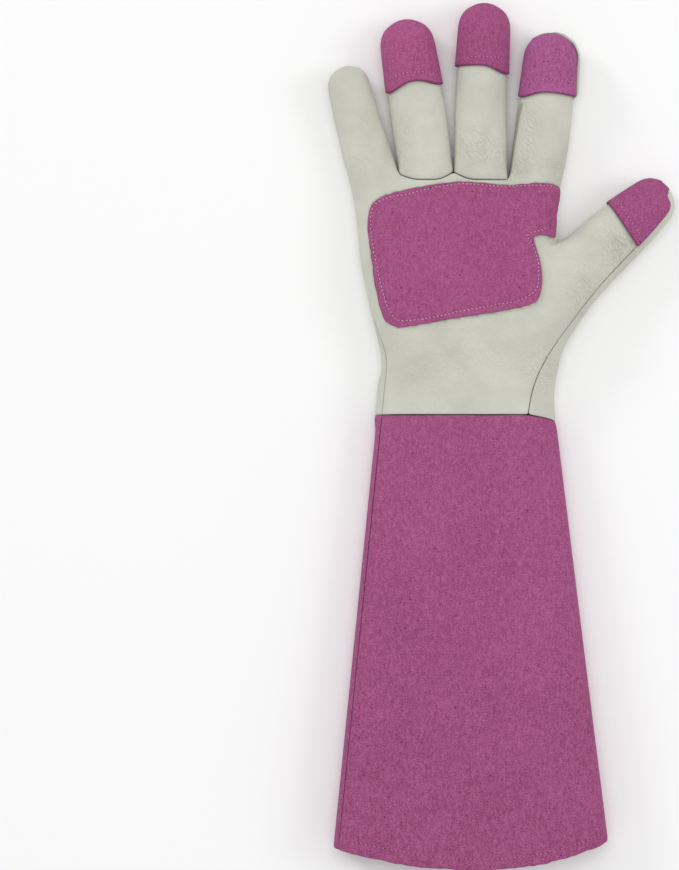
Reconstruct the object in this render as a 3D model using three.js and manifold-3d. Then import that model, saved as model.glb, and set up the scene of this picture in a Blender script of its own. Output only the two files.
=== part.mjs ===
import * as THREE from 'three';
import { mergeVertices } from 'three/addons/utils/BufferGeometryUtils.js';
import Module from 'manifold-3d';

// Rose pruning gauntlet for the right hand, lying on its back with the palm up.
// x runs towards the thumb, y towards the fingertips and z up, all in millimetres.
// The wrist seam is at y = 0 until the finished glove is centred on its own box.

// Driving sizes of the hand
const KNUCKLE_WIDTH = 113.4;
const WRIST_WIDTH = 95;
const PALM_LENGTH = 126.4;
const KNUCKLE_HEIGHT = 18.5;
const PALM_HEIGHT = 23;
const WRIST_HEIGHT = 20;
const PALM_ROUNDING = 15;
const WEB_DIP_DEPTH = 4.5;
const WEB_SET_LENGTH = 2.2;
const WEB_LIFT_HEIGHT = 0.6;
const WRIST_CORNER_LENGTH = 4.2;

// Driving sizes of the fingers
const LITTLE_LENGTH = 55.8;
const RING_LENGTH = 78.9;
const MIDDLE_LENGTH = 87.3;
const INDEX_LENGTH = 71.4;
const FINGER_HEIGHT = 17;
const FINGER_ROUNDING = 12;
const FINGERTIP_LIFT_HEIGHT = 5.5;
const SUEDE_TIP_LENGTH = 34;

// Driving sizes of the thumb
const THUMB_LENGTH = 77.6;
const THUMB_WIDTH = 30;
const THUMB_TIP_WIDTH = 26;
const THUMB_HEIGHT = 18;
const THUMB_LIFT_HEIGHT = 3.5;
const THUMB_ANGLE = THREE.MathUtils.degToRad(42.5);

// Driving sizes of the cuff
const CUFF_LENGTH = 225;
const HEM_WIDTH = 145;
const HEM_DROP_LENGTH = 12.8;
const HEM_SLANT_LENGTH = 3.4;
const HEM_HEIGHT = 26;
const HEM_FOLD_WIDTH = 11;
const HEM_STEP_LENGTH = 1.4;
const CUFF_FOLD_DEPTH = 1.6;

// Driving sizes of the gathered wrist
const GATHER_DEPTH = 2.2;
const WAIST_LIFT_HEIGHT = 0.8;

// Leather thicknesses and the clearance left at every seam
const GRAIN_LEATHER_THICKNESS = 1.2;
const SUEDE_THICKNESS = 1.2;
const SEAM_GAP = 0.3;

// Fingers: base width as a share of the knuckle width, belly and tip width as shares of the base,
// lean to the thumb's side and bow of the axis as shares of the length
const FINGERS = [
  { name: 'little', length: LITTLE_LENGTH, base: 0.238, belly: 0.93, tip: 0.86, lean: -0.273, bow: 0.04 },
  { name: 'ring', length: RING_LENGTH, base: 0.254, belly: 1.05, tip: 0.93, lean: -0.151, bow: -0.02 },
  { name: 'middle', length: MIDDLE_LENGTH, base: 0.251, belly: 0.98, tip: 0.895, lean: 0.028, bow: 0.05 },
  { name: 'index', length: INDEX_LENGTH, base: 0.257, belly: 1.01, tip: 0.89, lean: 0.108, bow: -0.059 },
];

// Suede tips: length, and drop of the lower edge towards each side, as shares of the tip length
const SUEDE_TIPS = {
  ring: { length: 0.95, leftDrop: 0.11, rightDrop: 0.1 },
  middle: { length: 0.965, leftDrop: 0.01, rightDrop: 0.1 },
  index: { length: 0.905, leftDrop: 0.09, rightDrop: 0.01 },
};

// How much of a suede edge's drop is left at the three points down a side
const SIDE_DROP = [1.15, 1, 0.5];

// A finger's rings, as shares of the stretch below its round tip: the first, the belly, those
// between the first and the suede's edge, and the edge's place on a finger without suede
const FIRST_RING = 0.13;
const BELLY = 0.45;
const LOW_RINGS = [0.34, 0.68];
const PLAIN_EDGE = 0.66;

// How far the little finger's outer seam is pulled up to the front at its tip
const LITTLE_SEAM_RAISE = 0.5;

// Rings over a round tip, from 0 at its start to 1 at its end, and how much lower it is there
const TIP_STEPS = [0.4, 0.7, 0.9, 1.0];
const TIP_HEIGHT_SHARE = 0.84;

// Columns over one finger and points along one side
const FINGER_COLUMNS = 4;
const HAND_COLUMNS = FINGER_COLUMNS * FINGERS.length;
const SIDE_POINTS = 3;

// Angles of the points round one side, from the front edge to the back edge, in degrees, and
// where they lie if the seam between the first and last of them is pulled up to the front
const SIDE_ANGLES = [50, 27, 8, -35, -75];
const RAISED_ANGLES = [64, 53, 42, -5, -72];
const LAST_ANGLE = SIDE_ANGLES.length - 1;
const LEFT_SEAM = 1;

// Share of the height at which a section is widest, how far its flat underside is rounded, and
// the most of a narrow finger's half width that the rounding takes
const WAIST_SHARE = 0.42;
const UNDER_ROUNDING_SHARE = 0.5;
const ROUNDING_LIMIT = 0.9;

// How sharply the underside of a finger turns up into its edge
const UNDER_EDGE_POWER = 8;

// Rows of the hand, as shares: down from knuckles to wrist; left and right edge of the local
// width; height between knuckle or wrist and palm; bunch of the elastic; raise of the outer seam
const HAND_ROWS = [
  { down: 0.0, left: -0.542, right: 0.458, height: 0.0, bunch: 0.0, raise: 0.1, web: 1.0 },
  { down: 0.082, left: -0.527, right: 0.442, height: 0.3, bunch: 0.0, raise: 0.0, web: 0.5 },
  { down: 0.185, left: -0.514, right: 0.424, height: 0.6, bunch: 0.0, raise: 0.0, web: 0.15 },
  { down: 0.292, left: -0.514, right: 0.433, height: 0.8, bunch: 0.0, raise: 0.0, web: 0.0 },
  { down: 0.379, left: -0.512, right: 0.45, height: 0.95, bunch: 0.0, raise: 0.0, web: 0.0 },
  { down: 0.465, left: -0.499, right: 0.463, height: 1.0, bunch: 0.0, raise: 0.0, web: 0.0 },
  { down: 0.551, left: -0.487, right: 0.477, height: 1.0, bunch: 0.25, raise: 0.2, web: 0.0 },
  { down: 0.638, left: -0.474, right: 0.479, height: 0.9, bunch: 0.6, raise: 0.6, web: 0.0 },
  { down: 0.72, left: -0.455, right: 0.517, height: 0.6, bunch: 0.95, raise: 0.9, web: 0.0 },
  { down: 0.774, left: -0.448, right: 0.507, height: 0.3, bunch: 1.0, raise: 1.0, web: 0.0 },
  { down: 0.831, left: -0.458, right: 0.495, height: 0.1, bunch: 0.8, raise: 1.0, web: 0.0 },
  { down: 0.897, left: -0.474, right: 0.487, height: 0.0, bunch: 0.5, raise: 1.0, web: 0.0 },
  { down: 0.951, left: -0.485, right: 0.492, height: 0.05, bunch: 0.25, raise: 1.0, web: 0.0 },
  { down: 1.0, left: -0.496, right: 0.503, height: 0.1, bunch: 0.1, raise: 1.0, web: 0.0 },
];
const PALM_MIDDLE = 0.5;
const THUMB_TOP_ROW = 3;
const THUMB_LOW_ROW = 8;

// Webs between the fingers: rise over the knuckle row as a share of the palm length
const WEB_RISES = [0.008, 0.016, -0.016];

// Rise of the web at the thumb for each millimetre that it stands out, and share of the wrist
// corner's length at the three points down its side
const THUMB_WEB_RISE = 0.3;
const WRIST_CORNER_SHARES = [0.6, 1, 1];

// Seam between palm and thumb from the thumb's root to the wrist, and the back seam beside it,
// as shares of the local width
const THUMB_SEAM = [0.458, 0.422, 0.387, 0.36, 0.35, 0.343];
const BACK_SEAM = [0.415, 0.418, 0.422, 0.427, 0.42, 0.402, 0.4, 0.425, 0.445, 0.46, 0.475];

// Thumb stations: upper and lower edge, along and across its axis as shares of length and width
const THUMB_STATIONS = [
  { upAlong: 0.24, upAcross: 0.62, lowAlong: 0.025, lowAcross: -0.585 },
  { upAlong: 0.378, upAcross: 0.605, lowAlong: 0.204, lowAcross: -0.52 },
  { upAlong: 0.528, upAcross: 0.595, lowAlong: 0.397, lowAcross: -0.49 },
  { upAlong: 0.622, upAcross: 0.563, lowAlong: 0.558, lowAcross: -0.47 },
  { upAlong: 0.735, upAcross: 0.523, lowAlong: 0.696, lowAcross: -0.443 },
];
const THUMB_SUEDE_STATION = 3;
const THUMB_SLOPE_END = 0.5;
const THUMB_ROOT = { across: 0.442, up: 0.512 };
const THUMB_TIP_SHIFT = 0.04;

// Columns of the thumb's round end that the palm side covers, counted from its upper edge
const THUMB_END_COLUMNS = 3;

// Palm patch outline, clockwise from its upper left, as shares of knuckle width and palm length
const PATCH_OUTLINE = [
  [-0.444, 0.806], [-0.427, 0.864], [-0.365, 0.899], [-0.266, 0.924], [-0.135, 0.945],
  [-0.056, 0.956], [0.005, 0.957], [0.099, 0.948], [0.211, 0.942], [0.314, 0.949],
  [0.384, 0.949], [0.428, 0.937], [0.440, 0.915], [0.431, 0.859], [0.424, 0.804],
  [0.417, 0.738], [0.412, 0.727], [0.400, 0.728], [0.361, 0.736], [0.314, 0.729],
  [0.316, 0.707], [0.338, 0.632], [0.349, 0.552], [0.335, 0.479], [0.286, 0.447],
  [0.117, 0.416], [-0.060, 0.393], [-0.248, 0.361], [-0.308, 0.357], [-0.365, 0.384],
  [-0.395, 0.447], [-0.425, 0.607], [-0.446, 0.749],
];

// Soft forms of the palm: place and reach as shares of knuckle width and palm length, rise as a
// share of the palm height. They fade out this many roundings from the outline.
const PALM_FORMS = [
  { across: 0.26, up: 0.42, wide: 0.2, long: 0.2, rise: 0.139 },
  { across: -0.27, up: 0.36, wide: 0.16, long: 0.25, rise: 0.087 },
  { across: 0.0, up: 0.5, wide: 0.13, long: 0.3, rise: -0.113 },
  { across: 0.4, up: 0.13, wide: 0.1, long: 0.12, rise: -0.13 },
  { across: 0.47, up: 0.55, wide: 0.1, long: 0.2, rise: 0.052 },
];
const FORM_FADE = 1.6;

// Cuff rows from the wrist to the hem, as shares of the side length above the folded hem
const CUFF_ROWS = [0.03, 0.09, 0.18, 0.3, 0.42, 0.54, 0.66, 0.78, 0.88];

// The cuff's front leaves the thumb's seam by its settle share; the hem lies a little to the
// thumb's side, its drop grows with a power of the length and is skewed to the thumb's side
const CUFF_SETTLE = 0.15;
const HEM_SHIFT = 0.018;
const HEM_DROP_POWER = 3;
const HEM_DROP_SKEW = 0.2;

// Soft folds down the cuff: how many lie side by side, where they start and how far they drift to
// the side, and the share of the length by which they have their full depth
const CUFF_FOLDS = { count: 2.4, start: 0.1, drift: 0.12, full: 0.25 };

// Least share of a right angle's opening by which a seam's clearance grows at a sharp corner
const CORNER_LIMIT = 0.4;

const CREAM = new THREE.MeshStandardMaterial({ color: 0xdadac8, roughness: 0.62, metalness: 0 });
const PINK = new THREE.MeshStandardMaterial({ color: 0xa85487, roughness: 0.95, metalness: 0 });

// The skin: all panels share these points, so that neighbouring edges follow each other
const points = [];
const faces = [];

function addPoint(x, y, z) {
  points.push(new THREE.Vector3(x, y, z));
  return points.length - 1;
}

function addFace(panel, a, b, c, d) {
  faces.push({ panel, ids: [a, b, c, d] });
}

// Faces between two rows of as many points, the lower row first
function addStrip(panelAt, lower, upper) {
  for (let i = 0; i + 1 < lower.length; i += 1) {
    addFace(panelAt(i), lower[i], lower[i + 1], upper[i + 1], upper[i]);
  }
}

function mix(a, b, share) {
  return a + (b - a) * share;
}

function smooth(share) {
  const t = Math.min(Math.max(share, 0), 1);
  return t * t * (3 - 2 * t);
}

// Inset from the outline and height of a point at an angle round a section's side
function sidePoint(degrees, height, rounding) {
  const angle = THREE.MathUtils.degToRad(degrees);
  const middle = WAIST_SHARE * height;
  const reach = degrees < 0 ? rounding * UNDER_ROUNDING_SHARE : rounding;
  const rise = degrees < 0 ? middle : height - middle;
  return { inset: reach * (1 - Math.cos(angle)), z: middle + rise * Math.sin(angle) };
}

// Height of the upper face of a section at a distance from its outline
function domeHeight(distance, height, rounding) {
  const middle = WAIST_SHARE * height;
  const share = Math.min(Math.max(distance / rounding, 0), 1);
  return middle + (height - middle) * Math.sqrt(1 - (1 - share) ** 2);
}

function sideAngles(raise) {
  return SIDE_ANGLES.map((angle, i) => mix(angle, RAISED_ANGLES[i], raise));
}

function palmForms(x, y) {
  let rise = 0;
  for (const form of PALM_FORMS) {
    const dx = (x / KNUCKLE_WIDTH - form.across) / form.wide;
    const dy = (y / PALM_LENGTH - form.up) / form.long;
    rise += form.rise * PALM_HEIGHT * Math.exp(-(dx * dx + dy * dy));
  }
  return rise;
}

// Left edge of each finger at the knuckles, and the webs between them
const fingerLeft = FINGERS.map((finger, number) => {
  const before = FINGERS.slice(0, number).reduce((sum, other) => sum + other.base, 0);
  return (HAND_ROWS[0].left + before) * KNUCKLE_WIDTH;
});
const webX = fingerLeft.slice(1);
const webY = WEB_RISES.map((rise) => (1 + rise) * PALM_LENGTH);

// Left and right ends of a hand row's front and back, where they meet a side or a seam
function rowEnds(index, width, height, leftAngles, rightAngles) {
  const row = HAND_ROWS[index];
  const inset = (degrees) => sidePoint(degrees, height, PALM_ROUNDING).inset;
  const ends = {
    leftFront: row.left * width + inset(leftAngles[0]),
    leftBack: row.left * width + inset(leftAngles[LAST_ANGLE]),
    rightFront: row.right * width - inset(rightAngles[0]),
    rightBack: row.right * width - inset(rightAngles[LAST_ANGLE]),
  };
  if (index > THUMB_TOP_ROW && index < THUMB_LOW_ROW) {
    ends.rightFront = row.right * width;
  }
  if (index >= THUMB_LOW_ROW) {
    ends.rightFront = THUMB_SEAM[index - THUMB_LOW_ROW] * width;
  }
  if (index >= THUMB_TOP_ROW) {
    ends.rightBack = BACK_SEAM[index - THUMB_TOP_ROW] * width;
  }
  return ends;
}

// Place of a column in a row: evenly spread, or following the fingers at the knuckles
function columnX(column, leftEnd, rightEnd, follow) {
  const finger = Math.min(Math.floor(column / FINGER_COLUMNS), FINGERS.length - 1);
  const inFinger = column / FINGER_COLUMNS - finger;
  const start = finger === 0 ? leftEnd : webX[finger - 1];
  const end = finger === FINGERS.length - 1 ? rightEnd : webX[finger];
  return mix(mix(leftEnd, rightEnd, column / HAND_COLUMNS), mix(start, end, inFinger), follow);
}

// Places along y of a hand row's front and back point: the knuckle row is set back between the
// webs, and the thumb's row at its web
function columnY(index, column, y) {
  const web = column / FINGER_COLUMNS - 1;
  if (index === 0 && web in webY) {
    return { front: webY[web] - WEB_SET_LENGTH, back: webY[web] - 2 * WEB_SET_LENGTH };
  }
  if (index === 0 && column > 1 && column < HAND_COLUMNS - 1) {
    return { front: y - 2 * WEB_SET_LENGTH, back: y };
  }
  if (index === THUMB_TOP_ROW && column === HAND_COLUMNS) {
    return { front: y - WEB_SET_LENGTH, back: y - WEB_SET_LENGTH };
  }
  return { front: y, back: y };
}

// One row of the hand, from its left to its right end
function handRow(index) {
  const row = HAND_ROWS[index];
  const width = mix(KNUCKLE_WIDTH, WRIST_WIDTH, row.down);
  const y = PALM_LENGTH * (1 - row.down);
  const endHeight = row.down < PALM_MIDDLE ? KNUCKLE_HEIGHT : WRIST_HEIGHT;
  const height = mix(endHeight, PALM_HEIGHT, row.height);
  const left = row.left * width;
  const right = row.right * width;
  const thumbOpen = index > THUMB_TOP_ROW && index < THUMB_LOW_ROW;
  const leftAngles = sideAngles(row.raise);
  const rightAngles = sideAngles(0);
  const ends = rowEnds(index, width, height, leftAngles, rightAngles);
  const backEdge = sidePoint(SIDE_ANGLES[LAST_ANGLE], height, PALM_ROUNDING).z;
  const front = [];
  const back = [];
  for (let column = 0; column <= HAND_COLUMNS; column += 1) {
    const x = columnX(column, ends.leftFront, ends.rightFront, Math.sqrt(row.web));
    const xBack = columnX(column, ends.leftBack, ends.rightBack, Math.sqrt(row.web));
    const at = columnY(index, column, y);
    const distance = Math.min(x - left, thumbOpen ? Infinity : right - x);
    const inside = smooth(distance / (FORM_FADE * PALM_ROUNDING));
    const nearWeb = Math.cos((column / FINGER_COLUMNS) * Math.PI) ** 2;
    const inner = column > 1 && column < HAND_COLUMNS - 1 ? 1 : 0;
    const dip = WEB_DIP_DEPTH * row.web * nearWeb * inner;
    const rise = palmForms(x, at.front) * inside - dip;
    front.push(addPoint(x, at.front, domeHeight(distance, height, PALM_ROUNDING) + rise));
    const gather = column % 2 === 1 ? GATHER_DEPTH : 0;
    const webLift = index === 0 && column / FINGER_COLUMNS - 1 in webY ? WEB_LIFT_HEIGHT : 0;
    const under = (gather + WAIST_LIFT_HEIGHT) * row.bunch + webLift;
    const atEdge = column === 0 || column === HAND_COLUMNS;
    back.push(addPoint(xBack, at.back, atEdge ? backEdge : under));
  }
  const leftSide = [];
  const rightSide = [];
  for (let k = 0; k < SIDE_POINTS; k += 1) {
    const onLeft = sidePoint(leftAngles[k + 1], height, PALM_ROUNDING);
    leftSide.push(addPoint(left + onLeft.inset, y, onLeft.z));
    if (thumbOpen) {
      continue;
    }
    const onRight = sidePoint(rightAngles[k + 1], height, PALM_ROUNDING);
    const set = index === THUMB_TOP_ROW ? WEB_SET_LENGTH - onRight.inset : 0;
    const corner = index === HAND_ROWS.length - 1 ? WRIST_CORNER_LENGTH : 0;
    const sideY = y + THUMB_WEB_RISE * set - corner * WRIST_CORNER_SHARES[k];
    rightSide.push(addPoint(right - onRight.inset + set, sideY, onRight.z));
  }
  return { front, back, leftSide, rightSide };
}

const handRows = HAND_ROWS.map((row, index) => handRow(index));

// Points of the webs between two fingers
const webSides = webX.map((x, web) => {
  const height = KNUCKLE_HEIGHT - WEB_DIP_DEPTH;
  return SIDE_ANGLES.slice(1, 1 + SIDE_POINTS).map((degrees) => {
    const at = sidePoint(degrees, height, WEB_SET_LENGTH);
    return addPoint(x, webY[web] - at.inset, at.z);
  });
});

// Hand faces: palm, back and the strips down both sides, open at the thumb
for (let index = 0; index + 1 < handRows.length; index += 1) {
  const upper = handRows[index];
  const lower = handRows[index + 1];
  const sidePanel = (k) => (k <= LEFT_SEAM ? 'palm_panel' : 'back_panel');
  addStrip(() => 'palm_panel', lower.front, upper.front);
  addStrip(() => 'back_panel', upper.back, lower.back);
  const upperLeft = [upper.front[0], ...upper.leftSide, upper.back[0]];
  const lowerLeft = [lower.front[0], ...lower.leftSide, lower.back[0]];
  addStrip(sidePanel, upperLeft, lowerLeft);
  if (index < THUMB_TOP_ROW || index >= THUMB_LOW_ROW) {
    const upperRight = [upper.front[HAND_COLUMNS], ...upper.rightSide, upper.back[HAND_COLUMNS]];
    const lowerRight = [lower.front[HAND_COLUMNS], ...lower.rightSide, lower.back[HAND_COLUMNS]];
    addStrip(index < THUMB_LOW_ROW ? sidePanel : () => 'thumb_back', lowerRight, upperRight);
  }
}

// One ring of a finger or thumb. q runs from 0 to 1 over the round tip.
function fingerRing(station, columns) {
  const { centre, lateral, axis, width, height, lift, q } = station;
  const rounding = Math.min(FINGER_ROUNDING, width * ROUNDING_LIMIT);
  const place = (side, inset, shift) => {
    const across = side * Math.sqrt(1 - (q * q) / 2);
    const along = q * Math.sqrt(1 - (side * side) / 2);
    const scale = width - inset;
    return {
      x: centre.x + (lateral.x * across + axis.x * along) * scale + axis.x * shift,
      y: centre.y + (lateral.y * across + axis.y * along) * scale + axis.y * shift,
      radius: Math.sqrt(side * side + q * q - side * side * q * q),
    };
  };
  const frontInset = sidePoint(SIDE_ANGLES[0], height, rounding).inset;
  const backCorner = sidePoint(SIDE_ANGLES[LAST_ANGLE], height, rounding);
  const front = [];
  const back = [];
  for (let column = 0; column <= columns; column += 1) {
    const side = -1 + (2 * column) / columns;
    const drop = side < 0 ? station.leftDrop : station.rightDrop;
    const top = place(side, frontInset, -drop * side * side);
    const inset = width - (width - frontInset) * top.radius;
    front.push(addPoint(top.x, top.y, lift + domeHeight(inset, height, rounding)));
    const under = place(side, backCorner.inset, 0);
    back.push(addPoint(under.x, under.y, lift + backCorner.z * top.radius ** UNDER_EDGE_POWER));
  }
  const leftAngles = sideAngles(station.leftRaise);
  const rightAngles = sideAngles(0);
  const leftSide = [];
  const rightSide = [];
  for (let k = 1; k <= SIDE_POINTS; k += 1) {
    const onLeft = sidePoint(leftAngles[k], height, rounding);
    const atLeft = place(-1, onLeft.inset, -station.leftDrop * SIDE_DROP[k - 1]);
    leftSide.push(addPoint(atLeft.x, atLeft.y, lift + onLeft.z));
    const onRight = sidePoint(rightAngles[k], height, rounding);
    const atRight = place(1, onRight.inset, -station.rightDrop * SIDE_DROP[k - 1]);
    rightSide.push(addPoint(atRight.x, atRight.y, lift + onRight.z));
  }
  return { front, back, leftSide, rightSide, place, rounding };
}

// Rows of points down the round end, between the last ring's front and back
function tipRows(station, ring, columns) {
  const leftAngles = sideAngles(station.leftRaise);
  const rows = [ring.front];
  for (let k = 1; k <= SIDE_POINTS; k += 1) {
    const row = [ring.leftSide[k - 1]];
    for (let column = 1; column < columns; column += 1) {
      const share = column / columns;
      const angle = mix(leftAngles[k], SIDE_ANGLES[k], share);
      const at = sidePoint(angle, station.height, ring.rounding);
      const spot = ring.place(-1 + 2 * share, at.inset, 0);
      row.push(addPoint(spot.x, spot.y, station.lift + at.z));
    }
    row.push(ring.rightSide[k - 1]);
    rows.push(row);
  }
  rows.push(ring.back);
  return rows;
}

function ringLoop(ring) {
  const back = [...ring.back].reverse();
  const leftSide = [...ring.leftSide].reverse();
  return [...ring.front, ...ring.rightSide, ...back, ...leftSide];
}

// Faces between rings and over the round end. panelAt names the panel of each strip round the
// loop, and endPanel that of each face of the end by its row and column.
function coverFinger(rings, rows, panelAt, endPanel) {
  const loops = rings.map((ring) => {
    const loop = ringLoop(ring);
    return [...loop, loop[0]];
  });
  for (let index = 0; index + 1 < loops.length; index += 1) {
    addStrip(panelAt, loops[index], loops[index + 1]);
  }
  for (let k = 0; k + 1 < rows.length; k += 1) {
    addStrip((column) => endPanel(k, column), rows[k], rows[k + 1]);
  }
}

// A finger's section at a share of the stretch below its round tip, or q of the way over the tip
function fingerStation(finger, number, share, q) {
  const base = finger.base * KNUCKLE_WIDTH;
  const tipRadius = (finger.tip * base) / 2;
  const along = share * (finger.length - tipRadius);
  const s = along / finger.length;
  const offset = (finger.lean - finger.bow) * s + finger.bow * s * s;
  const slope = finger.lean - finger.bow + 2 * finger.bow * s;
  const axis = new THREE.Vector2(slope, 1).normalize();
  const swell = mix(base / 2, (finger.belly * base) / 2, smooth(share / BELLY));
  const height = mix(KNUCKLE_HEIGHT, FINGER_HEIGHT, smooth(share / BELLY));
  return {
    centre: new THREE.Vector2(
      fingerLeft[number] + base / 2 + offset * finger.length,
      PALM_LENGTH + along,
    ),
    lateral: new THREE.Vector2(axis.y, -axis.x),
    axis,
    width: mix(swell, tipRadius, smooth((share - BELLY) / (1 - BELLY))),
    height: height * mix(1, TIP_HEIGHT_SHARE, q * q),
    lift: FINGERTIP_LIFT_HEIGHT * s * s,
    q,
    leftRaise: number === 0 ? LITTLE_SEAM_RAISE * share : 0,
    leftDrop: 0,
    rightDrop: 0,
  };
}

// Stations of a finger from its first ring to its tip; the one at the suede's edge has its drops
function fingerStations(finger, number) {
  const suede = SUEDE_TIPS[finger.name];
  const straight = finger.length - (finger.tip * finger.base * KNUCKLE_WIDTH) / 2;
  const suedeEdge = (length) => (finger.length - length * SUEDE_TIP_LENGTH) / straight;
  const edge = suede ? suedeEdge(suede.length) : PLAIN_EDGE;
  const low = LOW_RINGS.map((share) => mix(FIRST_RING, edge, share));
  const shares = [FIRST_RING, ...low, edge, (1 + edge) / 2, 1];
  const stations = shares.map((share) => fingerStation(finger, number, share, 0));
  const edgeStation = low.length + 1;
  if (suede) {
    stations[edgeStation].leftDrop = suede.leftDrop * SUEDE_TIP_LENGTH;
    stations[edgeStation].rightDrop = suede.rightDrop * SUEDE_TIP_LENGTH;
  }
  TIP_STEPS.forEach((q) => stations.push(fingerStation(finger, number, 1, q)));
  return { stations, edgeStation };
}

// Suede tips lie over the faces that a finger's or the thumb's front has above the suede's edge
const overlays = [];

function addFinger(finger, number) {
  const columns = FINGER_COLUMNS;
  const outerLeft = number === 0;
  const outerRight = number === FINGERS.length - 1;
  const { stations, edgeStation } = fingerStations(finger, number);
  const from = number * columns;
  const knuckles = handRows[0];
  const rings = [{
    front: knuckles.front.slice(from, from + columns + 1),
    back: knuckles.back.slice(from, from + columns + 1),
    leftSide: outerLeft ? knuckles.leftSide : webSides[number - 1],
    rightSide: outerRight ? knuckles.rightSide : webSides[number],
  }];
  stations.forEach((station) => rings.push(fingerRing(station, columns)));
  const rows = tipRows(stations[stations.length - 1], rings[rings.length - 1], columns);
  const frontPanel = outerLeft || outerRight ? 'palm_panel' : `${finger.name}_front`;
  const rightEnd = columns + SIDE_POINTS + 1;
  const backEnd = rightEnd + columns;
  const panelAt = (i) => {
    const onBack = i >= rightEnd && i < backEnd;
    const rightBehind = outerRight && i > columns + LEFT_SEAM && i < rightEnd;
    const leftBehind = outerLeft && i >= backEnd && i < backEnd + SIDE_POINTS - LEFT_SEAM;
    return onBack || rightBehind || leftBehind ? 'back_panel' : frontPanel;
  };
  const outer = outerLeft || outerRight;
  const endPanel = (k) => (outer && k > LEFT_SEAM ? 'back_panel' : frontPanel);
  const firstFace = faces.length;
  coverFinger(rings, rows, panelAt, endPanel);
  if (SUEDE_TIPS[finger.name]) {
    const covered = faces.slice(firstFace + (edgeStation + 1) * ringLoop(rings[0]).length);
    const own = covered.filter((face) => face.panel === frontPanel);
    overlays.push({ name: `${finger.name}_tip`, faces: own });
  }
}

FINGERS.forEach(addFinger);

// Thumb: its axis, and a place along and across it as shares of its length and width
const thumbAxis = new THREE.Vector2(Math.cos(THUMB_ANGLE), Math.sin(THUMB_ANGLE));
const thumbUp = new THREE.Vector2(-thumbAxis.y, thumbAxis.x);

function thumbPlace(along, across) {
  const root = new THREE.Vector2(THUMB_ROOT.across * KNUCKLE_WIDTH, THUMB_ROOT.up * PALM_LENGTH);
  root.addScaledVector(thumbAxis, along * THUMB_LENGTH);
  return root.addScaledVector(thumbUp, across * THUMB_WIDTH);
}

function thumbStation(at) {
  const upper = thumbPlace(at.upAlong, at.upAcross);
  const lower = thumbPlace(at.lowAlong, at.lowAcross);
  const across = lower.clone().sub(upper);
  const share = (at.upAlong + at.lowAlong) / 2;
  return {
    centre: upper.clone().add(lower).multiplyScalar(1 / 2),
    lateral: across.clone().normalize(),
    axis: thumbAxis,
    width: across.length() / 2,
    height: mix(PALM_HEIGHT, THUMB_HEIGHT, smooth(share / THUMB_SLOPE_END)),
    lift: THUMB_LIFT_HEIGHT * share * share,
    q: 0,
    leftRaise: 0,
    leftDrop: 0,
    rightDrop: 0,
  };
}

function thumbTipStation(q) {
  return {
    centre: thumbPlace(1 - THUMB_TIP_WIDTH / 2 / THUMB_LENGTH, THUMB_TIP_SHIFT),
    lateral: thumbUp.clone().negate(),
    axis: thumbAxis,
    width: THUMB_TIP_WIDTH / 2,
    height: THUMB_HEIGHT * mix(1, TIP_HEIGHT_SHARE, q * q),
    lift: THUMB_LIFT_HEIGHT,
    q,
    leftRaise: 0,
    leftDrop: 0,
    rightDrop: 0,
  };
}

// The thumb's opening in the hand is its first ring, seen from the thumb's tip
function addThumb() {
  const opening = handRows.slice(THUMB_TOP_ROW, THUMB_LOW_ROW + 1);
  const columns = opening.length - 1;
  const stations = [...THUMB_STATIONS.map(thumbStation), ...[0, ...TIP_STEPS].map(thumbTipStation)];
  const rings = [{
    front: opening.map((row) => row.front[HAND_COLUMNS]),
    back: opening.map((row) => row.back[HAND_COLUMNS]),
    leftSide: handRows[THUMB_TOP_ROW].rightSide,
    rightSide: handRows[THUMB_LOW_ROW].rightSide,
  }];
  stations.forEach((station) => rings.push(fingerRing(station, columns)));
  const rows = tipRows(stations[stations.length - 1], rings[rings.length - 1], columns);
  const loop = ringLoop(rings[0]).length;
  const panelAt = (i) => (i < columns || i >= loop - SIDE_POINTS ? 'palm_panel' : 'thumb_back');
  const endPanel = (k, column) => {
    const palmSide = column < THUMB_END_COLUMNS && k < SIDE_POINTS;
    return palmSide ? 'palm_panel' : 'thumb_back';
  };
  const firstFace = faces.length;
  coverFinger(rings, rows, panelAt, endPanel);
  const covered = faces.slice(firstFace + (THUMB_SUEDE_STATION + 1) * loop);
  const own = covered.filter((face) => face.panel === 'palm_panel');
  overlays.push({ name: 'thumb_tip', faces: own });
}

addThumb();

// Layers of leather at a point of the skin, where there is more than one
const layersAt = new Map();

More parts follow.
